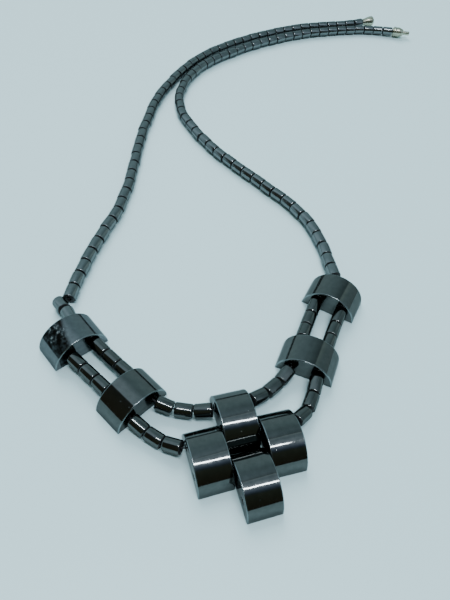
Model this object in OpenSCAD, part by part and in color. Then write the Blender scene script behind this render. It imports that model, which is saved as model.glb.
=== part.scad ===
// Hematite bead necklace lying open on a flat surface, in millimetres.
// +Z is up, the surface is Z = 0, and +Y runs from the pendant to the clasp.
// The strings are followed from the left end of the necklace to the right one.

/* [Tube beads] */
// Diameter of a tube bead
tube_d = 4; // [3.8:0.1:4.2]
// Length of a tube bead of the two strands
tube_l = 4.75; // [4.6:0.05:4.8]
// Length of a tube bead between dome beads and at the sharp bend
front_tube_l = 4.65; // [4.5:0.05:4.7]
// Space between neighbouring tube beads of the left strand
left_gap = 0.4; // [0.35:0.05:0.5]
// Space between neighbouring tube beads of the right strand
right_gap = 0.35; // [0.35:0.05:0.5]
// Width of the chamfer round each end of a tube bead
tube_edge = 0.4; // [0.3:0.05:0.5]
// Diameter of the hole along a tube bead
tube_bore_d = 1.5; // [1.3:0.1:1.6]
// Number of tube beads between two dome beads
run_beads = 3; // [3:1:3]
// Number of tube beads in the left strand, past the two at its bend
left_beads = 49; // [40:1:49]
// Number of tube beads in the right strand
right_beads = 51; // [40:1:52]

/* [Dome beads] */
// Width of a dome bead, across its two bores
dome_w = 16.8; // [16:0.1:16.8]
// Length of a dome bead, along its bores
dome_l = 9.3; // [9:0.1:9.4]
// Height of a dome bead over its flat underside
dome_h = 7.8; // [7.4:0.1:8.2]
// Radius of the long edges of the underside
dome_corner_r = 0.7; // [0.4:0.1:1]
// Rounding of the rims of the two end faces
dome_edge_r = 0.3; // [0.2:0.1:0.4]
// Distance between the two bores
bore_gap = 7.6; // [7.4:0.1:8]
// Height of the bores over the underside
bore_z = 3.3; // [3:0.1:3.8]
// Diameter of the bores
bore_d = 1.6; // [1.4:0.1:1.8]
// Width of the countersink round each end of a bore
bore_edge = 0.3; // [0.2:0.1:0.4]

/* [Pendant] */
// Position of the pendant's middle along X
pendant_x = -6.2; // [-7:0.1:-5]
// Position of the pendant's middle along Y
pendant_y = -115.8; // [-117:0.1:-115]
// Turn of the pendant's bores from +X, in degrees
pendant_turn = 21.5; // [20:0.5:23]
// Step from bead to bead along the bores
pendant_step = 9.6; // [9.5:0.1:9.8]
// Step from row to row across the bores: half the distance between top and bottom bead
pendant_row = 8.5; // [8.5:0.1:8.8]

/* [Thread] */
// Diameter of the single thread in the front rows
thread_d = 0.4; // [0.3:0.1:0.5]
// Diameter of the doubled thread in the strands
strand_thread_d = 0.7; // [0.5:0.1:0.8]
// How far the slack runs of tube beads sag between two dome beads
run_sag = 1.2; // [0:0.1:1.3]

/* [Clasp] */
// Diameter of the clasp at its widest
clasp_d = 4.8; // [4.4:0.1:5]
// Length of the socket half
socket_l = 6.2; // [5.5:0.1:6.5]
// Diameter of the socket half at the strand
socket_neck_d = 3; // [2.6:0.1:3.4]
// Length of the socket half's full-size rim
socket_rim_l = 1.2; // [0.8:0.1:2]
// Diameter of the hole that takes the pin
socket_bore_d = 2.2; // [2.1:0.1:2.4]
// Depth of the hole that takes the pin
socket_bore_l = 3.8; // [3.6:0.1:4]
// Width of the countersink round the mouth of that hole
socket_mouth = 0.4; // [0.3:0.1:0.5]
// Length of the plug half without its pin
plug_l = 5.4; // [5:0.1:6]
// Diameter of the plug half at the strand
plug_neck_d = 4.2; // [3.8:0.1:4.4]
// Distance from the strand to where the plug half starts to taper
plug_taper_at = 3.2; // [2.5:0.1:3.6]
// Diameter of the plug half where its pin starts
plug_nose_d = 3; // [2.6:0.1:3.4]
// Diameter of the pin
pin_d = 1.9; // [1.6:0.1:1.9]
// Length of the pin
pin_l = 3.4; // [3:0.1:3.4]

/* [Hidden] */
$fn = 32;
thread_sides = 8;
thread_end_in = 2.2;   // how far a front thread reaches into the first strand bead
thread_hug = 0.36;     // distance of the front threads from a dome bead's end face
pair_offset = 0.27;    // half the distance between the two threads inside a bead
thread_in = 0.5;       // where a thread's turn starts, inside the mouth of a bore
curve_steps = 8;       // straight steps per stretch of a route
clasp_hole_d = 1.5;    // hole for the strand's thread in each clasp half
rest_z = tube_d / 2;   // height of a tube bead's middle line on the surface
mirror_color = [0.25, 0.28, 0.30];
thread_color = [0.12, 0.12, 0.13];
metal_color = [0.80, 0.79, 0.72];

// The middle of the whole necklace, which becomes the origin
middle = [-0.7, 1.1, 0];

// Arch of a dome bead: a circle through the two long edges and the crown
arch_r = (dome_w * dome_w / 4 + dome_h * dome_h) / (2 * dome_h);
arch_z = dome_h - arch_r;

// Unit vectors along and across a direction given in degrees
function along(turn) = [cos(turn), sin(turn), 0];
function across(turn) = [-sin(turn), cos(turn), 0];
function unit(v) = v / norm(v);
function flat(p, z) = [p.x, p.y, z];
function last(list) = list[len(list) - 1];

// Place on the pendant, by steps along its bores and rows across them
function on_pendant(steps, rows) = [pendant_x, pendant_y, 0]
    + steps * pendant_step * along(pendant_turn) + rows * pendant_row * across(pendant_turn);

// Dome beads. Columns: name, middle of the underside, turn of the bores from +X.
// The bores point the way the strings are followed.
DOMES = [
    ["dome_left_outer", [-56.6, -89.7], -44.5],
    ["dome_left_inner", [-36.9, -105.4], -39],
    ["dome_centre_left", on_pendant(-1, 0), pendant_turn + 0.5],
    ["dome_centre_top", on_pendant(0, 1), pendant_turn - 0.5],
    ["dome_centre_right", on_pendant(1, 0), pendant_turn - 1],
    ["dome_centre_bottom", on_pendant(0, -1), pendant_turn + 0.5],
    ["dome_right_inner", [10.05, -87.15], 74],
    ["dome_right_outer", [17.85, -63.15], 68]];
LEFT_OUTER = 0;
LEFT_INNER = 1;
CENTRE_LEFT = 2;
CENTRE_TOP = 3;
CENTRE_RIGHT = 4;
CENTRE_BOTTOM = 5;
RIGHT_INNER = 6;
RIGHT_OUTER = 7;

// A bore is the one on the neck's side of its bead or the one away from it
NEAR = 1;
FAR = -1;

// A thread that crosses from row to row of the pendant lies this far off its bores' middles
cross_aside = (pendant_row - bore_gap) / 2;

// Runs of tube beads, from one dome bead's bore to another's. "Aside" is how far the thread
// lies off the middle of the bore, toward the neck. Turns are those of the run's two ends,
// from +X. "Sag" is a share of run_sag. "Gaps" are those before the three beads, in mm.
// Columns: name, bead left, bore, aside, turn, bead entered, bore, aside, turn, sag, gaps
RUNS = [
    ["left_near", LEFT_OUTER, NEAR, 0.3, -40, LEFT_INNER, NEAR, 0, -37, 0.2,
        [0.45, 0.35, 0.35]],
    ["left_far", LEFT_OUTER, FAR, 0.4, -37, LEFT_INNER, FAR, 0.3, -40, 0.2,
        [0.6, 0.4, 0.4]],
    ["left_bridge_near", LEFT_INNER, NEAR, -0.4, -20, CENTRE_TOP, NEAR, -0.4, 11, 1,
        [1, 0.6, 0.53]],
    ["left_bridge_far", LEFT_INNER, FAR, -0.3, -33, CENTRE_LEFT, NEAR, -0.3, -4, 1,
        [0.5, 0.45, 0.61]],
    ["right_bridge_near", CENTRE_TOP, NEAR, -0.2, 32, RIGHT_INNER, NEAR, 0, 58, 1,
        [1, 0.68, 0.6]],
    ["right_bridge_far", CENTRE_RIGHT, NEAR, -0.2, 32, RIGHT_INNER, FAR, 0.1, 78, 1,
        [1.03, 0.86, 0.44]],
    ["right_near", RIGHT_INNER, NEAR, 0, 76, RIGHT_OUTER, NEAR, 0.3, 73, 0.5,
        [1.4, 0.35, 0.35]],
    ["right_far", RIGHT_INNER, FAR, 0, 73, RIGHT_OUTER, FAR, -0.2, 69, 0.5,
        [0.65, 0.35, 0.35]]];

// Start and heading of the two tube beads at the left strand's sharp bend, which climb
// toward the dome bead. Columns: start x, y, z, turn from +X, climb
BEND_BEADS = [
    [-58.35, -83.97, 3.3, 125, -3.5],
    [-61.45, -79.85, 2.95, 133, -12]];

// Middle line of the left strand, from its bend to the clasp
LEFT_ROUTE = [
    [-61.8, -75.35], [-60.8, -62], [-58.6, -48], [-55.8, -35], [-54.9, -20], [-55.4, -5],
    [-55.8, 10], [-55.2, 24], [-54.2, 36], [-51.2, 48], [-46.8, 61], [-40.3, 74],
    [-33, 84], [-24.5, 93], [-15.5, 101], [-5.5, 108.5], [4.5, 115], [15, 120],
    [26, 124.2], [33.5, 127], [39.5, 130.1], [47, 134.3]];

// Middle line of the right strand, from its dome bead to the clasp
RIGHT_ROUTE = [
    [18.6, -54.9], [17.3, -49], [14.8, -39.6], [10.6, -30], [4.6, -22.3], [-2.5, -15.8],
    [-12.8, -7], [-24, 2.8], [-32.5, 12.4], [-40.2, 23.6], [-44, 32.5], [-45.3, 42],
    [-44.1, 52.5], [-40.6, 63], [-35.1, 72.3], [-27.5, 81.2], [-18, 91], [-8, 99.2],
    [3, 107], [14, 113], [26, 118], [36, 121.6], [45, 123.5], [52, 123.7], [60, 123.5],
    [68, 124.4]];

// Point of a smooth curve through p1 and p2, at share t between them
function smooth(p0, p1, p2, p3, t) =
    0.5 * (2 * p1 + (p2 - p0) * t + (2 * p0 - 5 * p1 + 4 * p2 - p3) * t * t
        + (3 * p1 - p0 - 3 * p2 + p3) * t * t * t);

// Points of the smooth curve through all points of a route
function smooth_route(route) = let (n = len(route)) concat(
    [for (i = [0:n - 2]) for (k = [0:curve_steps - 1])
        smooth(route[max(i - 1, 0)], route[i], route[i + 1], route[min(i + 2, n - 1)],
            k / curve_steps)],
    [route[n - 1]]);

// The same points, each with the distance walked to it: [distance, x, y, z]
function walk(points) = let (n = len(points))
    [for (i = 0, s = 0; i < n;
        s = s + (i < n - 1 ? norm(points[i + 1] - points[i]) : 0), i = i + 1)
        [s, points[i].x, points[i].y, points[i].z]];

// Point at a given distance along a walk
function step_to(w, s) = [for (k = [1:3]) lookup(s, [for (p = w) [p[0], p[k]]])];

// Height of a strand's middle line: it comes down from its dome bead to the surface, and
// comes up again to the middle of the clasp
function strand_z(s, top, clasp_at) = max(
    rest_z, top - (top - rest_z) * s / (2 * tube_l),
    clasp_d / 2 - (clasp_d / 2 - rest_z) * (clasp_at - s) / (2 * tube_l));
function strand_walk(route, top, clasp_at) =
    [for (p = walk([for (p = smooth_route(route)) flat(p, 0)]))
        [p[0], p[1], p[2], strand_z(p[0], top, clasp_at)]];

// Ends of each tube bead of a strand: [[start, end], ...]
function strand_beads(route, top, count, gap) =
    let (pitch = tube_l + gap, w = strand_walk(route, top, count * pitch))
    [for (i = [0:count - 1]) [step_to(w, i * pitch), step_to(w, i * pitch + tube_l)]];

// Mouth of a dome bead's bore, where a string comes out (end 1) or goes in (end -1)
function mouth(d, side, end, aside = 0, inside = 0) = let (turn = DOMES[d][2])
    flat(DOMES[d][1], bore_z) + end * (dome_l / 2 - inside) * along(turn)
        + (side * bore_gap / 2 + aside) * across(turn);

// Curve of a run from bore to bore
function run_walk(r) =
    let (p = mouth(r[1], r[2], 1, r[3]), q = mouth(r[5], r[6], -1, r[7]),
        handle = 0.36 * norm(q - p), p1 = p + handle * along(r[4]),
        q1 = q - handle * along(r[8]), n = 4 * curve_steps)
    walk([for (i = [0:n]) let (t = i / n, u = 1 - t)
        u * u * u * p + 3 * u * u * t * p1 + 3 * u * t * t * q1 + t * t * t * q
            - [0, 0, r[9] * run_sag * sin(180 * t)]]);

// Ends of the tube beads of a run
function run_ends(r) =
    let (w = run_walk(r), g = r[10], l = front_tube_l,
        starts = [g[0], g[0] + l + g[1], g[0] + 2 * l + g[1] + g[2]])
    [for (s = starts) [step_to(w, s), step_to(w, s + l)]];

// Ends of a tube bead given by its start, turn and climb
function bend_ends(b) = let (start = [b[0], b[1], b[2]],
    d = cos(b[4]) * along(b[3]) + [0, 0, sin(b[4])]) [start, start + front_tube_l * d];

BEND_ENDS = [for (b = BEND_BEADS) bend_ends(b)];
LEFT_ENDS = strand_beads(LEFT_ROUTE, rest_z, left_beads, left_gap);
RIGHT_ENDS = strand_beads(RIGHT_ROUTE, 2.9, right_beads, right_gap);

// Tube bead along X from 0, with chamfered ends
module tube_bead(length) {
    color(mirror_color)
    rotate([0, 90, 0])
    rotate_extrude()
    polygon([
        [tube_bore_d / 2, 0], [tube_d / 2 - tube_edge, 0], [tube_d / 2, tube_edge],
        [tube_d / 2, length - tube_edge], [tube_d / 2 - tube_edge, length],
        [tube_bore_d / 2, length]]);
}

// Lay something that runs along X so that it starts at one point and heads for another
module lay(ends) {
    d = unit(ends[1] - ends[0]);
    translate(ends[0])
    rotate([0, -asin(d.z), atan2(d.y, d.x)])
    children();
}

module strand(all_ends) {
    for (ends = all_ends) lay(ends) tube_bead(tube_l);
}

// Outline of a dome bead's end face: a flat base, rounded long edges and an arch
module dome_face() {
    intersection() {
        translate([0, arch_z]) circle(r = arch_r, $fn = 96);
        union() {
            translate([-dome_w / 2, dome_corner_r]) square([dome_w, dome_h]);
            translate([-dome_w / 2 + dome_corner_r, 0])
                square([dome_w - 2 * dome_corner_r, dome_h]);
            for (s = [-1, 1])
                translate([s * (dome_w / 2 - dome_corner_r), dome_corner_r])
                circle(r = dome_corner_r, $fn = 24);
        }
    }
}

// Disc that the arch is part of, with rounded rims
module arch_disc() {
    rotate_extrude($fn = 96)
    union() {
        translate([0, -dome_l / 2]) square([arch_r - dome_edge_r, dome_l]);
        translate([0, -dome_l / 2 + dome_edge_r]) square([arch_r, dome_l - 2 * dome_edge_r]);
        for (s = [-1, 1])
            translate([arch_r - dome_edge_r, s * (dome_l / 2 - dome_edge_r)])
            circle(r = dome_edge_r, $fn = 16);
    }
}

// Dome bead with its bores along X and its underside on Z = 0
module dome_bead() {
    color(mirror_color)
    difference() {
        intersection() {
            translate([-dome_l / 2, 0, 0])
            rotate([90, 0, 90])
            linear_extrude(dome_l)
            dome_face();
            translate([0, 0, arch_z]) rotate([0, 90, 0]) arch_disc();
        }
        for (side = [-1, 1]) translate([0, side * bore_gap / 2, bore_z]) {
            rotate([0, 90, 0]) cylinder(d = bore_d, h = dome_l + 1, center = true);
            for (end = [-1, 1])
                translate([end * (dome_l / 2 + 0.01), 0, 0])
                rotate([0, -90 * end, 0])
                cylinder(d1 = bore_d + 2 * bore_edge, d2 = bore_d - 0.1, h = bore_edge + 0.05);
        }
    }
}

module dome(d) {
    translate(flat(DOMES[d][1], 0)) rotate([0, 0, DOMES[d][2]]) dome_bead();
}

// One ring of a thread round a point, square to the way it runs
function thread_ring(p, heading, r) =
    let (side = unit(cross([0, 0, 1], heading)), up = cross(heading, side))
    [for (k = [0:thread_sides - 1]) let (a = 360 * k / thread_sides)
        p + r * (cos(a) * side + sin(a) * up)];

// Round thread through a list of points
module thread_through(points, d) {
    n = len(points);
    headings = [for (i = [0:n - 1])
        unit(points[min(i + 1, n - 1)] - points[max(i - 1, 0)])];
    rings = [for (i = [0:n - 1]) each thread_ring(points[i], headings[i], d / 2)];
    m = thread_sides;
    color(thread_color)
    polyhedron(
        points = rings,
        faces = concat(
            [[for (k = [0:m - 1]) m - 1 - k]],
            [for (i = [0:n - 2]) for (k = [0:m - 1])
                [i * m + k, i * m + (k + 1) % m, (i + 1) * m + (k + 1) % m, (i + 1) * m + k]],
            [[for (k = [0:m - 1]) (n - 1) * m + k]]));
}

// Points of a thread inside a row of beads: the middle of each gap between them
function gap_points(all_ends) = [for (i = [0:len(all_ends) - 2])
    (all_ends[i][1] + all_ends[i + 1][0]) / 2];
function reverse(list) = [for (i = [len(list) - 1:-1:0]) list[i]];

// Thread from a bead in front of a dome bead to one of the two bores: straight into a bore
// that is near, or else close along the end face
function lead_in(d, side, end, bead) =
    let (turn = DOMES[d][2], face = flat(DOMES[d][1], bore_z) + end * dome_l / 2 * along(turn),
        out = end * thread_hug * along(turn), row = side * across(turn),
        at = row * (bead[0] - face), off = bead[0] + thread_aside(bead, row),
        into = unit(bead[1] - bead[0]))
    at > bore_gap / 2 - 1.5
        ? [off, mouth(d, side, end, side * -0.3, thread_in)]
        : [off - 0.1 * into,
            face + out + max(0.8, at + 0.6) * row,
            face + out + (bore_gap / 2 - 0.4) * row,
            mouth(d, side, end, 0, thread_in)];

// Step off a bead's middle line that keeps the two front threads apart inside it
function thread_aside(bead, row) = let (into = unit(bead[1] - bead[0]))
    pair_offset * unit(row - (row * into) * into);

// Thread through a dome bead, from where it comes in to where it goes out
function through_dome(d, side, aside) =
    [mouth(d, side, -1, aside, thread_in), mouth(d, side, 1, aside, thread_in)];

// Thread along a run, from inside one dome bead to inside the next
function through_run(r) = concat(
    [mouth(r[1], r[2], 1, r[3], thread_in)],
    [for (ends = run_ends(r)) each ends],
    [mouth(r[5], r[6], -1, r[7], thread_in)]);

// Start of a front thread: through the two beads at the bend, to the left outer dome bead
function left_lead(side) =
    let (near = BEND_ENDS[0], far = BEND_ENDS[1], row = side * across(DOMES[LEFT_OUTER][2]))
    concat(
        [far[1] + thread_aside(far, row) + 0.2 * unit(far[1] - far[0]),
            far[0] + thread_aside(far, row), near[1] + thread_aside(near, row)],
        lead_in(LEFT_OUTER, side, -1, near));

// End of a front thread: from the right outer dome bead into the strand's first bead
function right_lead(side) =
    let (bead = RIGHT_ENDS[0], row = side * across(DOMES[RIGHT_OUTER][2]))
    concat(
        reverse(lead_in(RIGHT_OUTER, side, 1, bead)),
        [bead[0] + thread_end_in * unit(bead[1] - bead[0]) + thread_aside(bead, row)]);

module thread_inner() {
    thread_through(concat(
        left_lead(NEAR),
        through_run(RUNS[0]), through_run(RUNS[2]), through_run(RUNS[4]), through_run(RUNS[6]),
        right_lead(NEAR)), thread_d);
}

module thread_outer() {
    thread_through(concat(
        left_lead(FAR),
        through_run(RUNS[1]), through_run(RUNS[3]),
        [mouth(CENTRE_LEFT, NEAR, 1, cross_aside, thread_in)],
        through_dome(CENTRE_TOP, FAR, -cross_aside),
        [mouth(CENTRE_RIGHT, NEAR, -1, cross_aside, thread_in)],
        through_run(RUNS[5]), through_run(RUNS[7]),
        right_lead(FAR)), thread_d);
}

// Short thread that hangs the pendant's lowest bead between its two side beads
module thread_lower() {
    thread_through(concat(
        through_dome(CENTRE_LEFT, FAR, -cross_aside),
        through_dome(CENTRE_BOTTOM, NEAR, cross_aside),
        through_dome(CENTRE_RIGHT, FAR, -cross_aside)), thread_d);
}

// Doubled thread along a strand, from its first bead to inside the clasp
module strand_thread(all_ends, starts_in) {
    first = all_ends[0];
    end = last(all_ends);
    into = unit(first[1] - first[0]);
    out = unit(end[1] - end[0]);
    thread_through(concat([first[0] + starts_in * into], gap_points(all_ends),
        [end[1], end[1] + 1.3 * out]), strand_thread_d);
}

// Half of the clasp laid on in line with a strand's last bead, resting on the surface
module at_strand_end(all_ends) {
    end = last(all_ends);
    out = end[1] - end[0];
    translate(flat(end[1], clasp_d / 2) + right_gap * along(atan2(out.y, out.x)))
    rotate([0, 0, atan2(out.y, out.x)])
    rotate([0, 90, 0])
    children();
}

// Socket half of the clasp: a flared cup with a hole for the pin, which the hole for the
// strand's thread opens into
module clasp_socket() {
    color(metal_color)
    at_strand_end(LEFT_ENDS)
    difference() {
        union() {
            cylinder(d1 = socket_neck_d, d2 = clasp_d, h = socket_l - socket_rim_l);
            translate([0, 0, socket_l - socket_rim_l]) cylinder(d = clasp_d, h = socket_rim_l);
        }
        translate([0, 0, socket_l - socket_bore_l])
            cylinder(d = socket_bore_d, h = socket_bore_l + 1);
        translate([0, 0, socket_l - socket_mouth - 0.05])
            cylinder(d1 = socket_bore_d - 0.1, d2 = socket_bore_d + 2 * socket_mouth + 0.02,
                h = socket_mouth + 0.06);
        translate([0, 0, -1])
            cylinder(d = clasp_hole_d, h = socket_l - socket_bore_l + 1.1);
    }
}

// Plug half of the clasp: a barrel that tapers at both ends, and the pin
module clasp_plug() {
    color(metal_color)
    at_strand_end(RIGHT_ENDS)
    difference() {
        union() {
            cylinder(d1 = plug_neck_d, d2 = clasp_d, h = 0.8);
            translate([0, 0, 0.8]) cylinder(d = clasp_d, h = plug_taper_at - 0.8);
            translate([0, 0, plug_taper_at])
                cylinder(d1 = clasp_d, d2 = plug_nose_d, h = plug_l - plug_taper_at);
            translate([0, 0, plug_l - 0.5]) cylinder(d = pin_d, h = pin_l + 0.2);
            translate([0, 0, plug_l + pin_l - 0.3])
                cylinder(d1 = pin_d, d2 = pin_d - 0.6, h = 0.3);
        }
        translate([0, 0, -1]) cylinder(d = clasp_hole_d, h = 2.4);
    }
}

// Move from the routes' coordinates to those with the necklace's middle at the origin
module placed() {
    translate(-middle) children();
}

placed() {  // strand_left
    strand(LEFT_ENDS);
    for (ends = BEND_ENDS) lay(ends) tube_bead(front_tube_l);
}
placed() strand(RIGHT_ENDS);  // strand_right
for (d = [0:len(DOMES) - 1])
    placed() dome(d);
for (r = RUNS) for (i = [1:run_beads])
    placed() lay(run_ends(r)[i - 1]) tube_bead(front_tube_l);
placed() strand_thread(LEFT_ENDS, -0.2);  // thread_left
placed() strand_thread(RIGHT_ENDS, thread_end_in + 0.2);  // thread_right
placed() thread_inner();
placed() thread_outer();
placed() thread_lower();
placed() clasp_socket();
placed() clasp_plug();
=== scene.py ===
"""Hematite bead necklace lying open on a pale surface, dressed for the photograph's view."""

import math

import bmesh
import bpy
import numpy as np
from mathutils import Matrix, Vector


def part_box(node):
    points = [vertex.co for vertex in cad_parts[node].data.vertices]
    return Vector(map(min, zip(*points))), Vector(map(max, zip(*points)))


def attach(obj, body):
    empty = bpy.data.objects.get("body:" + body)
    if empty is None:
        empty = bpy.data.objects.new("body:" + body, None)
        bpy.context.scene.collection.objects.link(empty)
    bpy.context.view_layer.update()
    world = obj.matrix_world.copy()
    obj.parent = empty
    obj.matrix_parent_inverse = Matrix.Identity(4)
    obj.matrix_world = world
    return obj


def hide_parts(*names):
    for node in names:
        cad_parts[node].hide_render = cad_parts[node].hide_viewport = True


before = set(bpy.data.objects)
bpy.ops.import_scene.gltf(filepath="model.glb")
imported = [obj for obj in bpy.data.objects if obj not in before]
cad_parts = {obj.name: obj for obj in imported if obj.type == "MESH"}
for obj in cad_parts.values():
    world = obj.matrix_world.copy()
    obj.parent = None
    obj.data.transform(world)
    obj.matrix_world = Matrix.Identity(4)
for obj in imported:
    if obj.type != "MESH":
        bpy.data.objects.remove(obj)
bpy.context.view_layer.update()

MM = 0.001


# Materials

def srgb(code):
    """An sRGB hex colour as the linear values that a shader takes."""
    parts = [int(code[i:i + 2], 16) / 255 for i in (1, 3, 5)]
    linear = [c / 12.92 if c <= 0.04045 else ((c + 0.055) / 1.055) ** 2.4 for c in parts]
    return (*linear, 1.0)


def add_node(tree, kind, settings=None, sockets=None, links=None):
    """Adds a node with its settings, its socket values and the links that come into it.
    Sockets go by name, or by number on the nodes whose sockets share a name."""
    node = tree.nodes.new(kind)
    for name, value in (settings or {}).items():
        setattr(node, name, value)
    for name, value in (sockets or {}).items():
        node.inputs[name].default_value = value
    for name, source in (links or {}).items():
        tree.links.new(source, node.inputs[name])
    return node


def new_tree(block):
    block.use_nodes = True
    block.node_tree.nodes.clear()
    return block.node_tree


def set_ramp(node, stops):
    """Colours of a ramp node, from (position, hex colour) pairs."""
    ramp = node.color_ramp
    while len(ramp.elements) < len(stops):
        ramp.elements.new(0.5)
    for element, (position, code) in zip(ramp.elements, stops):
        element.position = position
        element.color = srgb(code)


def polished_hematite(name, tints, haze_range, worn_at=None):
    """Tumbled hematite, an iron ore with a mirror polish. It gives the eye a dark gunmetal
    mirror: the room shows in it sharp but dim, a little wavy, with a few pinpoint pits.
    Round worn_at, in mm, a band is darker and has lost its polish, with soft mottles and a
    few pale flakes in it."""
    material = bpy.data.materials.new(name)
    tree = new_tree(material)
    place = add_node(tree, "ShaderNodeTexCoord").outputs["Object"]
    # Slow waves of the polished skin, 3.5 mm from crest to crest
    waves = add_node(tree, "ShaderNodeTexNoise", None,
                     {"Scale": 1 / (3.5 * MM), "Detail": 2.0, "Roughness": 0.4},
                     {"Vector": place})
    wavy = add_node(tree, "ShaderNodeBump", None, {"Strength": 0.4, "Distance": 0.05 * MM},
                    {"Height": waves.outputs["Fac"]})
    # Faint clouds in the ore, 1.5 mm across
    clouds = add_node(tree, "ShaderNodeTexNoise", None,
                      {"Scale": 1 / (1.5 * MM), "Detail": 3.0, "Roughness": 0.6},
                      {"Vector": place})
    tint = add_node(tree, "ShaderNodeValToRGB", None, None, {"Fac": clouds.outputs["Fac"]})
    set_ramp(tint, [(0.3, tints[0]), (0.7, tints[1])])
    haze = add_node(tree, "ShaderNodeMapRange", None,
                    {"From Min": 0.35, "From Max": 0.75,
                     "To Min": haze_range[0], "To Max": haze_range[1]},
                    {"Value": clouds.outputs["Fac"]})
    # Pinpoint pits 0.25 mm wide, about 2.5 mm apart
    specks = add_node(tree, "ShaderNodeTexVoronoi", None, {"Scale": 1 / (2.5 * MM)},
                      {"Vector": place})
    pits = add_node(tree, "ShaderNodeMapRange", None,
                    {"From Min": 0.03, "From Max": 0.07, "To Min": 0.0, "To Max": 1.0},
                    {"Value": specks.outputs["Distance"]})
    pitted = add_node(tree, "ShaderNodeBump", None, {"Strength": 0.6, "Distance": 0.05 * MM},
                      {"Height": pits.outputs["Result"], "Normal": wavy.outputs["Normal"]})
    colour, rough, normal = tint.outputs["Color"], haze.outputs["Result"], pitted.outputs[0]
    if worn_at:
        # Millimetres from the band's middle: X along the bead, Y up its side
        band = add_node(tree, "ShaderNodeMapping", {"vector_type": "TEXTURE"},
                        {"Location": [c * MM for c in worn_at],
                         "Rotation": (0, 0, math.radians(-44.5)), "Scale": (MM, MM, MM)},
                        {"Vector": place})
        spot = add_node(tree, "ShaderNodeSeparateXYZ", None, None,
                        {"Vector": band.outputs["Vector"]})
        # Its soft, ragged upper edge climbs toward the bead's far end
        climb = add_node(tree, "ShaderNodeMath", {"operation": "MULTIPLY_ADD"}, {1: 0.27},
                         {0: spot.outputs["X"], 2: spot.outputs["Y"]})
        ragged = add_node(tree, "ShaderNodeMath", {"operation": "MULTIPLY_ADD"}, {1: 0.9},
                          {0: clouds.outputs["Fac"], 2: climb.outputs["Value"]})
        under = add_node(tree, "ShaderNodeMapRange", None,
                         {"From Min": 4.3, "From Max": 3.1, "To Min": 0.0, "To Max": 1.0},
                         {"Value": ragged.outputs["Value"]})
        over = add_node(tree, "ShaderNodeMapRange", None,
                        {"From Min": -2.1, "From Max": -1.9, "To Min": 0.0, "To Max": 1.0},
                        {"Value": spot.outputs["Y"]})
        dark = add_node(tree, "ShaderNodeMath", {"operation": "MULTIPLY"}, None,
                        {0: under.outputs["Result"], 1: over.outputs["Result"]})
        # Soft mottles in the darker band, 1.2 mm across
        grains = add_node(tree, "ShaderNodeTexNoise", None,
                          {"Scale": 1 / (1.2 * MM), "Detail": 3.0, "Roughness": 0.6},
                          {"Vector": place})
        smudges = add_node(tree, "ShaderNodeValToRGB", None, None,
                           {"Fac": grains.outputs["Fac"]})
        set_ramp(smudges, [(0.42, "#1A1815"), (0.7, "#4A5255")])
        darkened = add_node(tree, "ShaderNodeMixRGB", None, None,
                            {"Fac": dark.outputs["Value"], "Color1": colour,
                             "Color2": smudges.outputs["Color"]})
        # Flakes: short stretches of the cracks between crumbs 0.8 mm across
        crumbs = add_node(tree, "ShaderNodeTexVoronoi", {"feature": "DISTANCE_TO_EDGE"},
                          {"Scale": 1 / (0.8 * MM), "Randomness": 1.0}, {"Vector": place})
        cracks = add_node(tree, "ShaderNodeMapRange", None,
                          {"From Min": 0.1, "From Max": 0.02, "To Min": 0.0, "To Max": 1.0},
                          {"Value": crumbs.outputs["Distance"]})
        broken = add_node(tree, "ShaderNodeMapRange", None,
                          {"From Min": 0.55, "From Max": 0.68, "To Min": 0.0, "To Max": 1.0},
                          {"Value": grains.outputs["Fac"]})
        # They lie round a point 2 mm toward the bead's far end
        away = add_node(tree, "ShaderNodeVectorMath", {"operation": "DISTANCE"},
                        {1: (-2.0, 1.2, 0.0)}, {0: band.outputs["Vector"]})
        close = add_node(tree, "ShaderNodeMapRange", None,
                         {"From Min": 3.9, "From Max": 2.7, "To Min": 0.0, "To Max": 1.0},
                         {"Value": away.outputs["Value"]})
        chipped = add_node(tree, "ShaderNodeMath", {"operation": "MULTIPLY"}, None,
                           {0: cracks.outputs["Result"], 1: broken.outputs["Result"]})
        flakes = add_node(tree, "ShaderNodeMath", {"operation": "MULTIPLY"}, None,
                          {0: chipped.outputs["Value"], 1: close.outputs["Result"]})
        flaked = add_node(tree, "ShaderNodeMixRGB", None, {"Color2": srgb("#B4BCBC")},
                          {"Fac": flakes.outputs["Value"], "Color1": darkened.outputs["Color"]})
        rubble = add_node(tree, "ShaderNodeBump", None,
                          {"Strength": 0.8, "Distance": 0.15 * MM},
                          {"Height": flakes.outputs["Value"], "Normal": normal})
        dull = add_node(tree, "ShaderNodeMapRange", None,
                        {"From Min": 0.0, "From Max": 1.0, "To Min": 0.1, "To Max": 0.35},
                        {"Value": dark.outputs["Value"]})
        colour, rough = flaked.outputs["Color"], dull.outputs["Result"]
        normal = rubble.outputs["Normal"]
    # Toward grazing angles the ore brightens less than a metal
    shader = add_node(tree, "ShaderNodeBsdfPrincipled", None,
                      {"Metallic": 1.0, "Specular Tint": (0.5, 0.5, 0.5, 1.0)},
                      {"Base Color": colour, "Roughness": rough, "Normal": normal})
    add_node(tree, "ShaderNodeOutputMaterial", None, None, {"Surface": shader.outputs["BSDF"]})
    return material


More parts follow.
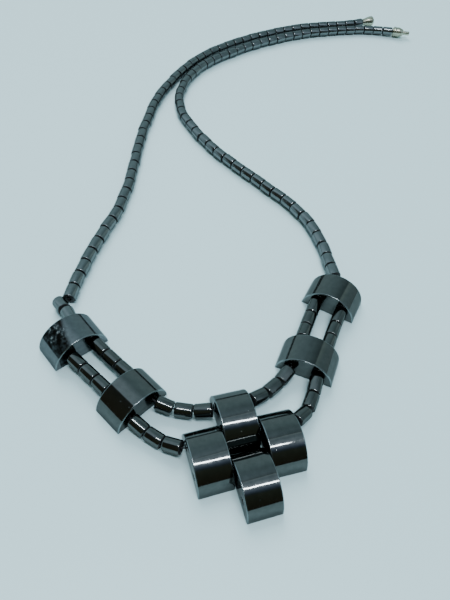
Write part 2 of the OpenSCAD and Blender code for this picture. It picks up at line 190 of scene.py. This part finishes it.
def bead_ends_painted_shade():
    """Ends of the small beads, painted dark as the shade in the gaps between them: dull and
    finely scratched.
    """
    material = bpy.data.materials.new("bead ends, painted shade")
    tree = new_tree(material)
    place = add_node(tree, "ShaderNodeTexCoord").outputs["Object"]
    # Fine scratches, 0.2 mm apart
    scratches = add_node(tree, "ShaderNodeTexNoise", None,
                         {"Scale": 1 / (0.2 * MM), "Detail": 2.0}, {"Vector": place})
    shade = add_node(tree, "ShaderNodeValToRGB", None, None,
                     {"Fac": scratches.outputs["Fac"]})
    set_ramp(shade, [(0.3, "#111213"), (0.7, "#1F2122")])
    scored = add_node(tree, "ShaderNodeBump", None, {"Strength": 0.3, "Distance": 0.03 * MM},
                      {"Height": scratches.outputs["Fac"]})
    shader = add_node(tree, "ShaderNodeBsdfPrincipled", None, {"Roughness": 0.55},
                      {"Base Color": shade.outputs["Color"],
                       "Normal": scored.outputs["Normal"]})
    add_node(tree, "ShaderNodeOutputMaterial", None, None, {"Surface": shader.outputs["BSDF"]})
    return material


def waxed_thread():
    """Black waxed nylon beading thread: dull, with the fine ridges of its twist."""
    material = bpy.data.materials.new("waxed nylon thread")
    tree = new_tree(material)
    place = add_node(tree, "ShaderNodeTexCoord").outputs["Object"]
    # Fibres of the twist, 0.15 mm apart
    twist = add_node(tree, "ShaderNodeTexNoise", None,
                     {"Scale": 1 / (0.15 * MM), "Detail": 2.0}, {"Vector": place})
    shade = add_node(tree, "ShaderNodeValToRGB", None, None, {"Fac": twist.outputs["Fac"]})
    set_ramp(shade, [(0.3, "#131315"), (0.7, "#2C2C30")])
    ridges = add_node(tree, "ShaderNodeBump", None, {"Strength": 0.5, "Distance": 0.05 * MM},
                      {"Height": twist.outputs["Fac"]})
    shader = add_node(tree, "ShaderNodeBsdfPrincipled", None, {"Roughness": 0.7},
                      {"Base Color": shade.outputs["Color"],
                       "Normal": ridges.outputs["Normal"]})
    add_node(tree, "ShaderNodeOutputMaterial", None, None, {"Surface": shader.outputs["BSDF"]})
    return material


def plated_brass():
    """Brass with a pale, slightly worn plating: a soft champagne mirror."""
    material = bpy.data.materials.new("pale plated brass")
    tree = new_tree(material)
    place = add_node(tree, "ShaderNodeTexCoord").outputs["Object"]
    # Rubbed patches of the plating, 0.8 mm across
    wear = add_node(tree, "ShaderNodeTexNoise", None,
                    {"Scale": 1 / (0.8 * MM), "Detail": 3.0}, {"Vector": place})
    tint = add_node(tree, "ShaderNodeValToRGB", None, None, {"Fac": wear.outputs["Fac"]})
    set_ramp(tint, [(0.3, "#A9A892"), (0.7, "#C9C8B6")])
    haze = add_node(tree, "ShaderNodeMapRange", None,
                    {"From Min": 0.3, "From Max": 0.7, "To Min": 0.2, "To Max": 0.34},
                    {"Value": wear.outputs["Fac"]})
    shader = add_node(tree, "ShaderNodeBsdfPrincipled", None, {"Metallic": 1.0},
                      {"Base Color": tint.outputs["Color"],
                       "Roughness": haze.outputs["Result"]})
    add_node(tree, "ShaderNodeOutputMaterial", None, None, {"Surface": shader.outputs["BSDF"]})
    return material


def pale_laminate():
    """Pale blue-grey laminate: plain and faintly glossy."""
    material = bpy.data.materials.new("pale laminate")
    tree = new_tree(material)
    shader = add_node(tree, "ShaderNodeBsdfPrincipled", None,
                      {"Base Color": srgb("#CBE8EB"), "Roughness": 0.35})
    add_node(tree, "ShaderNodeOutputMaterial", None, None, {"Surface": shader.outputs["BSDF"]})
    return material


hematite = polished_hematite("polished hematite", ("#565958", "#606261"), (0.05, 0.11))
# The worn bead is hazier, and tinted paler than the others: painted light, for the brighter
# room it mirrors
worn_hematite = polished_hematite("worn polished hematite", ("#5E6264", "#6A6E70"),
                                  (0.08, 0.14), worn_at=(-59.2, -94.1, 6.4))
# The small beads of the strands are less finely polished, so rougher. Their paler tint is
# painted light: it makes them mirror the room more brightly.
strand_hematite_painted_paler = polished_hematite("satin hematite, painted paler", ("#6A6F70", "#757A7B"),
                                    (0.17, 0.24))
# The rims of the dome beads are a little rougher, and paler as a painted highlight:
# the lamp's thin bright line along them
rim_painted_highlight = polished_hematite("hematite rim, painted highlight", ("#767E80", "#848C8E"), (0.2, 0.28))
# Painted shade: a dark skin on the bead ends, as in the shaded gaps between beads
ends_painted_shade = bead_ends_painted_shade()
thread = waxed_thread()
clasp_metal = plated_brass()


# Shapes

def finish_piece(name, bm, skins, slot, sharp_above, *stands_for):
    """Turns a mesh into the named piece of the necklace, which stands in for CAD nodes. It
    is shaded smooth, but for the edges where it turns by more degrees than sharp_above."""
    mesh = bpy.data.meshes.new(name)
    bm.to_mesh(mesh)
    bm.free()
    for skin in skins:
        mesh.materials.append(skin)
    mesh.shade_smooth()
    mesh.set_sharp_from_angle(angle=math.radians(sharp_above))
    piece = bpy.data.objects.new(name, mesh)
    bpy.context.scene.collection.objects.link(piece)
    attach(piece, "root")
    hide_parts(*stands_for)
    return piece


def spun_along_x(outline, sides):
    """Spins a closed outline of (distance along X, radius) corners, in mm, round X."""
    bm = bmesh.new()
    corners = [bm.verts.new((x * MM, 0, r * MM)) for x, r in outline]
    edges = [bm.edges.new(pair) for pair in zip(corners, corners[1:] + corners[:1])]
    bmesh.ops.spin(bm, geom=corners + edges, cent=(0, 0, 0), axis=(1, 0, 0),
                   angle=2 * math.pi, steps=sides, use_merge=True)
    bmesh.ops.remove_doubles(bm, verts=bm.verts, dist=0.002 * MM)
    bmesh.ops.recalc_face_normals(bm, faces=bm.faces)
    return bm


# Tube bead, in mm
TUBE_R = 2.0
TUBE_BORE_R = 0.75


def tube_bead_outline(length, wear):
    """Section of a tube bead: bore, end faces, worn rims and polished wall. Each rim has a
    slope of 20 degrees, which catches the lamp on the viewer's side. At a wear of 1 the rim
    is worn for 0.44 mm along the bead, and else in proportion."""
    half, r, bore = length / 2, TUBE_R, TUBE_BORE_R
    rim = [(half, bore + 0.1), (half, r - 0.4), (half - 0.04, r - 0.25),
           (half - 0.12, r - 0.14)]
    rim += [(half - 0.16 - wear * across, r - wear * deep)
            for across, deep in ((0.0, 0.12), (0.18, 0.055), (0.28, 0.02), (0.44, 0.0))]
    return ([(half - 0.1, bore)] + rim
            + [(-x, radius) for x, radius in reversed(rim)] + [(0.1 - half, bore)])


def solids_of(node):
    """Corner points of each separate solid in a CAD node, in metres."""
    bm = bmesh.new()
    bm.from_mesh(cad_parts[node].data)
    bmesh.ops.remove_doubles(bm, verts=bm.verts, dist=0.001 * MM)
    seen, solids = set(), []
    for start in bm.verts:
        if start in seen:
            continue
        seen.add(start)
        group, waiting = [], [start]
        while waiting:
            corner = waiting.pop()
            group.append(corner.co.copy())
            for edge in corner.link_edges:
                other = edge.other_vert(corner)
                if other not in seen:
                    seen.add(other)
                    waiting.append(other)
        solids.append(np.array(group))
    bm.free()
    return solids


def bead_place(points):
    """Middle, direction and length in mm of a tube bead, from its solid's corner points."""
    middle = (points.min(0) + points.max(0)) / 2
    way = np.linalg.eigh(np.cov((points - points.mean(0)).T))[1][:, 2]
    reach = (points - middle) @ way
    low = points[reach < reach.min() + 0.05 * MM].mean(0)
    high = points[reach > reach.max() - 0.05 * MM].mean(0)
    way = Vector(high - low)
    length = way.length / MM
    way.normalize()
    if way.y < 0:
        way.negate()
    return Vector((low + high) / 2), way, length


def turned_to(middle, way, roll):
    """The move that takes a bead made along X at the origin to its place on the string."""
    side = Vector((0, 0, 1)).cross(way).normalized()
    up = way.cross(side)
    turn = Matrix((way, side, up)).transposed().to_4x4()
    return Matrix.Translation(middle) @ turn @ Matrix.Rotation(roll, 4, "X")


TUBE_BEADS = {}


def tube_bead(length, sides, wear):
    """Mesh of one tube bead, made once for each length. Its wall keeps the shallow flats that
    it was ground with, which run along it. Its ends and bore take the second skin, a
    painted shade."""
    key = (round(length, 2), sides, wear)
    if key not in TUBE_BEADS:
        bm = spun_along_x(tube_bead_outline(length, wear), sides)
        for corner in bm.verts:
            turn = math.atan2(corner.co.z, corner.co.y)
            # Five wide flats up to 0.02 mm deep, crossed by nine narrow ones
            flats = 1 - 0.005 * (1 + math.sin(5 * turn)) - 0.003 * (1 + math.sin(9 * turn + 1))
            corner.co.y *= flats
            corner.co.z *= flats
        bm.normal_update()
        for face in bm.faces:
            inside = face.calc_center_median().yz.length < (TUBE_BORE_R + 0.05) * MM
            # Ends, the steep parts of the rims and the bore get the painted shade
            face.material_index = int(abs(face.normal.x) > 0.6 or inside)
        TUBE_BEADS[key] = bpy.data.meshes.new("tube bead")
        bm.to_mesh(TUBE_BEADS[key])
        bm.free()
    return TUBE_BEADS[key]


def string_of_beads(node, sides, wear, fill, play, skin):
    """The tube beads of a CAD node, each at its solid's place. They fill out the gap that
    the CAD model leaves at each end by half of fill, and lie up to play to the side, on
    their thin thread. Fill and play are in mm."""
    bm = bmesh.new()
    for number, points in enumerate(solids_of(node)):
        middle, way, length = bead_place(points)
        side = Vector((0, 0, 1)).cross(way).normalized()
        # Sines at uneven steps, so that neighbours lie differently, and up to 12 degrees
        # askew for each mm of play
        middle += side * play * MM * math.sin(2.3 * number)
        askew = math.radians(12 * play * math.sin(1.7 * number + 1))
        way = Matrix.Rotation(askew, 3, "Z") @ way
        before = len(bm.verts)
        bm.from_mesh(tube_bead(length + fill, sides, wear))
        bm.verts.ensure_lookup_table()
        # Each bead is rolled by its own amount, so that neighbours show different flats
        bmesh.ops.transform(bm, matrix=turned_to(middle, way, 1.7 * number),
                            verts=bm.verts[before:])
    finish_piece(node + "_polished", bm, (skin, ends_painted_shade), "hematite", 40, node)


# Dome bead, in mm
DOME_WIDE = 16.8
DOME_LONG = 9.3
DOME_TALL = 7.8
DOME_BORE_GAP = 7.6
DOME_BORE_UP = 3.3
DOME_BORE_R = 0.8
DOME_MOUTH_R = 1.1
DOME_MOUTH_DEEP = 0.3
DOME_CORNER = 0.75
DOME_RIM = 0.28
ARCH_R = (DOME_WIDE ** 2 / 4 + DOME_TALL ** 2) / (2 * DOME_TALL)
# Turn of each dome bead's bores from +X, in degrees
DOME_TURNS = {
    "dome_left_outer": -44.5, "dome_left_inner": -39,
    "dome_centre_left": 22, "dome_centre_top": 21,
    "dome_centre_right": 20.5, "dome_centre_bottom": 22,
    "dome_right_inner": 74, "dome_right_outer": 68}


def bore_ring(bm, x, y, radius):
    """A ring of edges square to X, at the height of the bores."""
    place = Matrix.Translation((x * MM, y * MM, DOME_BORE_UP * MM))
    made = bmesh.ops.create_circle(bm, cap_ends=False, segments=24, radius=radius * MM,
                                   matrix=place @ Matrix.Rotation(math.pi / 2, 4, "Y"))
    return list({e for v in made["verts"] for e in v.link_edges})


def dome_bead(bm):
    """Half-round bead along X with its flat face on Z = 0: an arch cut off flat, run out to
    the bead's length, with rounded rims and two bores with open mouths. The rims take the
    second skin, paler as a painted highlight."""
    upright = Matrix.Translation((-DOME_LONG / 2 * MM, 0, (DOME_TALL - ARCH_R) * MM))
    bmesh.ops.create_circle(bm, cap_ends=True, segments=144, radius=ARCH_R * MM,
                            matrix=upright @ Matrix.Rotation(math.pi / 2, 4, "Y"))
    bmesh.ops.bisect_plane(bm, geom=bm.verts[:] + bm.edges[:] + bm.faces[:],
                           plane_co=(0, 0, 0), plane_no=(0, 0, -1), clear_outer=True)
    corners = [v for v in bm.verts if abs(v.co.z) < 1e-7]
    bmesh.ops.bevel(bm, geom=corners, affect="VERTICES", offset=DOME_CORNER * MM,
                    segments=5, profile=0.5, material=-1)
    made = bmesh.ops.extrude_face_region(bm, geom=bm.faces[:], use_keep_orig=True)
    far = [g for g in made["geom"] if isinstance(g, bmesh.types.BMVert)]
    bmesh.ops.translate(bm, vec=(DOME_LONG * MM, 0, 0), verts=far)
    bmesh.ops.recalc_face_normals(bm, faces=bm.faces)
    rims = list({e for f in bm.faces if abs(f.normal.x) > 0.9 for e in f.edges})
    bmesh.ops.bevel(bm, geom=rims, affect="EDGES", offset=DOME_RIM * MM, segments=3,
                    profile=0.5, material=-1)
    ends = [f for f in bm.faces if abs(f.normal.x) > 0.99 and len(f.verts) > 20]
    outlines = {1 if f.normal.x > 0 else -1: list(f.edges) for f in ends}
    bmesh.ops.delete(bm, geom=ends, context="FACES_ONLY")
    mouths = {}
    for end, outline in outlines.items():
        x = end * DOME_LONG / 2
        for side in (-1, 1):
            y = side * DOME_BORE_GAP / 2
            inner_x = x - end * DOME_MOUTH_DEEP
            mouths[end, side, "wide"] = bore_ring(bm, x, y, DOME_MOUTH_R)
            mouths[end, side, "narrow"] = bore_ring(bm, inner_x, y, DOME_BORE_R)
        bmesh.ops.triangle_fill(bm, use_beauty=True, use_dissolve=False,
                                edges=outline + mouths[end, -1, "wide"]
                                + mouths[end, 1, "wide"])
    for side in (-1, 1):
        for end in (-1, 1):
            bmesh.ops.bridge_loops(bm, edges=mouths[end, side, "wide"]
                                   + mouths[end, side, "narrow"])
        bmesh.ops.bridge_loops(bm, edges=mouths[1, side, "narrow"]
                               + mouths[-1, side, "narrow"])
    bmesh.ops.remove_doubles(bm, verts=bm.verts, dist=0.002 * MM)
    bmesh.ops.recalc_face_normals(bm, faces=bm.faces)
    bm.normal_update()
    for face in bm.faces:
        middle = face.calc_center_median()
        from_bore = math.hypot(abs(middle.y) - DOME_BORE_GAP / 2 * MM,
                               middle.z - DOME_BORE_UP * MM)
        # Rim faces away from the bore mouths take the paler skin: a painted highlight
        rim = 0.2 < abs(face.normal.x) < 0.97 and from_bore > (DOME_MOUTH_R + 0.1) * MM
        face.material_index = int(rim)


def dome_piece(node):
    bm = bmesh.new()
    dome_bead(bm)
    low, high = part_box(node)
    middle = (low + high) / 2
    place = Matrix.Translation((middle.x, middle.y, 0)) @ Matrix.Rotation(
        math.radians(DOME_TURNS[node]), 4, "Z")
    bmesh.ops.transform(bm, matrix=place, verts=bm.verts)
    skin = worn_hematite if node == "dome_left_outer" else hematite
    piece = finish_piece(node + "_polished", bm, (skin, rim_painted_highlight), "hematite", 50, node)
    weights = piece.modifiers.new("flat faces lead", "WEIGHTED_NORMAL")
    weights.keep_sharp = True


# Outlines of the clasp halves: distance from the strand's end and radius, in mm
SOCKET_OUTLINE = [
    (0.05, 0.75), (0, 0.85), (0, 1.3), (0.1, 1.45), (0.9, 1.52), (2.0, 1.72), (3.2, 2.05),
    (4.2, 2.28), (4.85, 2.34), (4.95, 2.27), (5.05, 2.27), (5.15, 2.38), (5.3, 2.4),
    (6.0, 2.4), (6.14, 2.34), (6.2, 2.2), (6.2, 1.6), (6.1, 1.4), (5.8, 1.15), (5.6, 1.1),
    (2.5, 1.1), (2.4, 1.0), (2.4, 0.75)]
PLUG_OUTLINE = [
    (0.05, 0.75), (0, 0.85), (0, 1.85), (0.08, 2.0), (0.3, 2.08), (0.5, 2.1), (0.6, 2.3),
    (0.75, 2.39), (1.3, 2.39), (1.45, 2.3), (1.6, 2.26), (3.0, 2.32), (3.4, 2.26),
    (4.2, 2.0), (4.9, 1.7), (5.3, 1.5), (5.4, 1.4), (5.4, 0.97), (5.5, 0.95), (8.45, 0.95),
    (8.7, 0.82), (8.8, 0.6), (8.8, 0.001), (1.4, 0.001), (1.4, 0.75)]


def clasp_half(node, outline, start, turn):
    """Half of the clasp, from its outline. It starts at a point in mm and is turned from +X
    by degrees."""
    bm = spun_along_x(outline, 40)
    place = Matrix.Translation([c * MM for c in start]) @ Matrix.Rotation(
        math.radians(turn), 4, "Z")
    bmesh.ops.transform(bm, matrix=place, verts=bm.verts)
    finish_piece(node + "_plated", bm, (clasp_metal,), "clasp_metal", 40, node)


for name in DOME_TURNS:
    dome_piece(name)
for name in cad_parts:
    if name.startswith("tube_"):
        string_of_beads(name, sides=40, wear=0.7, fill=0.14, play=0.0, skin=hematite)
    elif name.startswith("strand_"):
        string_of_beads(name, sides=20, wear=0.55, fill=0.0, play=0.12,
                        skin=strand_hematite_painted_paler)
clasp_half("clasp_socket", SOCKET_OUTLINE, (40.403, 129.108, 2.4), 28.2)
clasp_half("clasp_plug", PLUG_OUTLINE, (56.253, 122.483, 2.4), -1.48)
for name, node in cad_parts.items():
    if name.startswith("thread_"):
        node.data.materials.clear()
        node.data.materials.append(thread)


# Surface, camera and light

def table_top():
    """Plain pale surface, far larger than what the camera sees of it."""
    bm = bmesh.new()
    bmesh.ops.create_grid(bm, x_segments=1, y_segments=1, size=4.0)
    mesh = bpy.data.meshes.new("table")
    bm.to_mesh(mesh)
    bm.free()
    mesh.materials.append(pale_laminate())
    table = bpy.data.objects.new("table", mesh)
    table.location.z = -0.02 * MM
    bpy.context.scene.collection.objects.link(table)


def camera():
    """Stands in front of the pendant and a little left, and looks down 51.5 degrees."""
    tilt, roll = math.radians(51.5), math.radians(-6.7)
    right = Vector((1, 0, 0))
    down = Vector((0, -math.sin(tilt), -math.cos(tilt)))
    ahead = Vector((0, math.cos(tilt), -math.sin(tilt)))
    image_right = math.cos(roll) * right + math.sin(roll) * down
    image_down = -math.sin(roll) * right + math.cos(roll) * down
    data = bpy.data.cameras.new("camera")
    # The photograph's focal length is 540 pixels, and it is 600 pixels high
    data.sensor_width = 36
    data.lens = 540 / 600 * data.sensor_width
    data.clip_start = 0.01
    cam = bpy.data.objects.new("camera", data)
    turn = Matrix((image_right, -image_down, -ahead)).transposed().to_4x4()
    cam.matrix_world = Matrix.Translation((-0.0148, -0.1726, 0.1312)) @ turn
    bpy.context.scene.collection.objects.link(cam)
    bpy.context.scene.camera = cam


# The lamp runs this many degrees off left to right, and the room lies square to it
LAMP_TURN = -19


def lamp_strip():
    """A long, narrow lamp over the viewer. It is the bright line across the pendant."""
    data = bpy.data.lights.new("lamp strip", "AREA")
    data.shape = "RECTANGLE"
    data.size = 1.0
    data.size_y = 0.05
    data.energy = 16
    data.color = srgb("#F0F8FF")[:3]
    lamp = bpy.data.objects.new("lamp strip", data)
    lamp.location = (0.15, -0.35, 1.45)
    lamp.rotation_euler = (0, 0, math.radians(LAMP_TURN))
    bpy.context.scene.collection.objects.link(lamp)


def window_light():
    """Daylight from behind, which throws soft shadows toward the viewer. The beads mirror
    the room's own light, so this lamp doesn't show in them."""
    data = bpy.data.lights.new("window", "AREA")
    data.shape = "SQUARE"
    data.size = 1.3
    data.energy = 55
    data.color = srgb("#F4FAFF")[:3]
    lamp = bpy.data.objects.new("window", data)
    lamp.location = (-0.5, 1.75, 1.7)
    lamp.rotation_euler = (-lamp.location).to_track_quat("-Z", "Y").to_euler()
    lamp.visible_glossy = False
    bpy.context.scene.collection.objects.link(lamp)


def room_light():
    """Soft light of the room. It is bright over the lamp and dimmer down the wall behind
    the necklace. The viewer stands in front and keeps it dark from the left to the right."""
    world = bpy.data.worlds.new("room")
    tree = new_tree(world)
    sky = add_node(tree, "ShaderNodeTexCoord").outputs["Generated"]
    square = add_node(tree, "ShaderNodeMapping", {"vector_type": "POINT"},
                      {"Rotation": (0, 0, math.radians(-LAMP_TURN))}, {"Vector": sky})
    parts = add_node(tree, "ShaderNodeSeparateXYZ", None, None,
                     {"Vector": square.outputs["Vector"]})
    # Angle from straight up, toward the back
    lean = add_node(tree, "ShaderNodeMath", {"operation": "ARCTAN2"}, None,
                    {0: parts.outputs["Y"], 1: parts.outputs["Z"]})
    share = add_node(tree, "ShaderNodeMapRange", None,
                     {"From Min": -math.pi / 2, "From Max": math.pi / 2},
                     {"Value": lean.outputs["Value"]})
    back = [(0.8, "#93A9AC"), (0.97, "#98ABAD")]
    lit = add_node(tree, "ShaderNodeValToRGB", None, None, {"Fac": share.outputs["Result"]})
    set_ramp(lit, [(0.0, "#3E392E"), (0.2, "#434438"), (0.34, "#4B5044"), (0.37, "#4A5459"),
                   (0.4, "#6C7B90"), (0.43, "#A2ADC0"), (0.46, "#C6D1DC"), (0.52, "#B6C6D0"),
                   (0.57, "#9FB1B9"), (0.62, "#8CA0A7"), (0.69, "#7F9498")] + back)
    # Past the lamp's left end the wall starts without a glow
    plain = add_node(tree, "ShaderNodeValToRGB", None, None, {"Fac": share.outputs["Result"]})
    set_ramp(plain, [(0.0, "#3A362C"), (0.3, "#3B3B32"), (0.44, "#383A36"),
                     (0.452, "#B0C1C9"), (0.6, "#AEBFC6"), (0.7, "#8CA1A6")] + back)
    past_lamp = add_node(tree, "ShaderNodeMapRange", None,
                         {"From Min": -0.15, "From Max": -0.35, "To Min": 0.0, "To Max": 1.0},
                         {"Value": parts.outputs["X"]})
    shade = add_node(tree, "ShaderNodeMixRGB", None, None,
                     {"Fac": past_lamp.outputs["Result"], "Color1": lit.outputs["Color"],
                      "Color2": plain.outputs["Color"]})
    # Left of the viewer the wall comes round to the front
    beside = add_node(tree, "ShaderNodeMapRange", {"interpolation_type": "SMOOTHSTEP"},
                      {"From Min": -0.8, "From Max": -0.84, "To Min": 0.0, "To Max": 1.0},
                      {"Value": parts.outputs["X"]})
    before = add_node(tree, "ShaderNodeMapRange", None,
                      {"From Min": 0.0, "From Max": -0.17, "To Min": 0.0, "To Max": 1.0},
                      {"Value": lean.outputs["Value"]})
    round_front = add_node(tree, "ShaderNodeMath", {"operation": "MULTIPLY"}, None,
                           {0: beside.outputs["Result"], 1: before.outputs["Result"]})
    walls = add_node(tree, "ShaderNodeMixRGB", None, {"Color2": srgb("#93A7AC")},
                     {"Fac": round_front.outputs["Value"], "Color1": shade.outputs["Color"]})
    # To the right the wall dims toward a corner and is brighter past it
    azimuth = add_node(tree, "ShaderNodeMath", {"operation": "ARCTAN2"}, None,
                       {0: parts.outputs["X"], 1: parts.outputs["Y"]})
    round_room = add_node(tree, "ShaderNodeMapRange", None,
                          {"From Min": -math.pi, "From Max": math.pi},
                          {"Value": azimuth.outputs["Value"]})
    corner = add_node(tree, "ShaderNodeValToRGB", None, None,
                      {"Fac": round_room.outputs["Result"]})
    set_ramp(corner, [(0.5, "#CFD8DB"), (0.588, "#9DA6A8"), (0.596, "#FFFFF8"),
                      (0.625, "#CFD8DB"), (0.68, "#BFC9CC"), (0.72, "#CFD8DB")])
    cornered = add_node(tree, "ShaderNodeMixRGB", {"blend_type": "MULTIPLY"}, {"Fac": 1.0},
                        {"Color1": walls.outputs["Color"], "Color2": corner.outputs["Color"]})
    # A dark skirting runs along the foot of the back wall, up to the corner
    foot = add_node(tree, "ShaderNodeMapRange", None,
                    {"From Min": 0.088, "From Max": 0.068, "To Min": 0.0, "To Max": 1.0},
                    {"Value": parts.outputs["Z"]})
    along_back = add_node(tree, "ShaderNodeValToRGB", None, None,
                          {"Fac": round_room.outputs["Result"]})
    set_ramp(along_back, [(0.25, "#000000"), (0.3, "#FFFFFF"), (0.55, "#FFFFFF"),
                          (0.6, "#000000")])
    skirting = add_node(tree, "ShaderNodeMath", {"operation": "MULTIPLY"}, None,
                        {0: foot.outputs["Result"], 1: along_back.outputs["Color"]})
    skirted = add_node(tree, "ShaderNodeMixRGB", None, {"Color2": srgb("#0D1010")},
                       {"Fac": skirting.outputs["Value"], "Color1": cornered.outputs["Color"]})
    # The left side of the room is the brighter one
    strength = add_node(tree, "ShaderNodeMapRange", None,
                        {"From Min": -1.0, "From Max": 1.0, "To Min": 3.3, "To Max": 1.95},
                        {"Value": parts.outputs["X"]})
    glow = add_node(tree, "ShaderNodeBackground", None, None,
                    {"Color": skirted.outputs["Color"],
                     "Strength": strength.outputs["Result"]})
    # Past the table's edge the viewer sees a plain pale backdrop instead
    backdrop = add_node(tree, "ShaderNodeBackground", None,
                        {"Color": srgb("#C6D3D6"), "Strength": 1.0})
    ray = add_node(tree, "ShaderNodeLightPath")
    seen = add_node(tree, "ShaderNodeMixShader", None, None,
                    {"Fac": ray.outputs["Is Camera Ray"], 1: glow.outputs["Background"],
                     2: backdrop.outputs["Background"]})
    add_node(tree, "ShaderNodeOutputWorld", None, None, {"Surface": seen.outputs["Shader"]})
    bpy.context.scene.world = world


table_top()
camera()
lamp_strip()
window_light()
room_light()
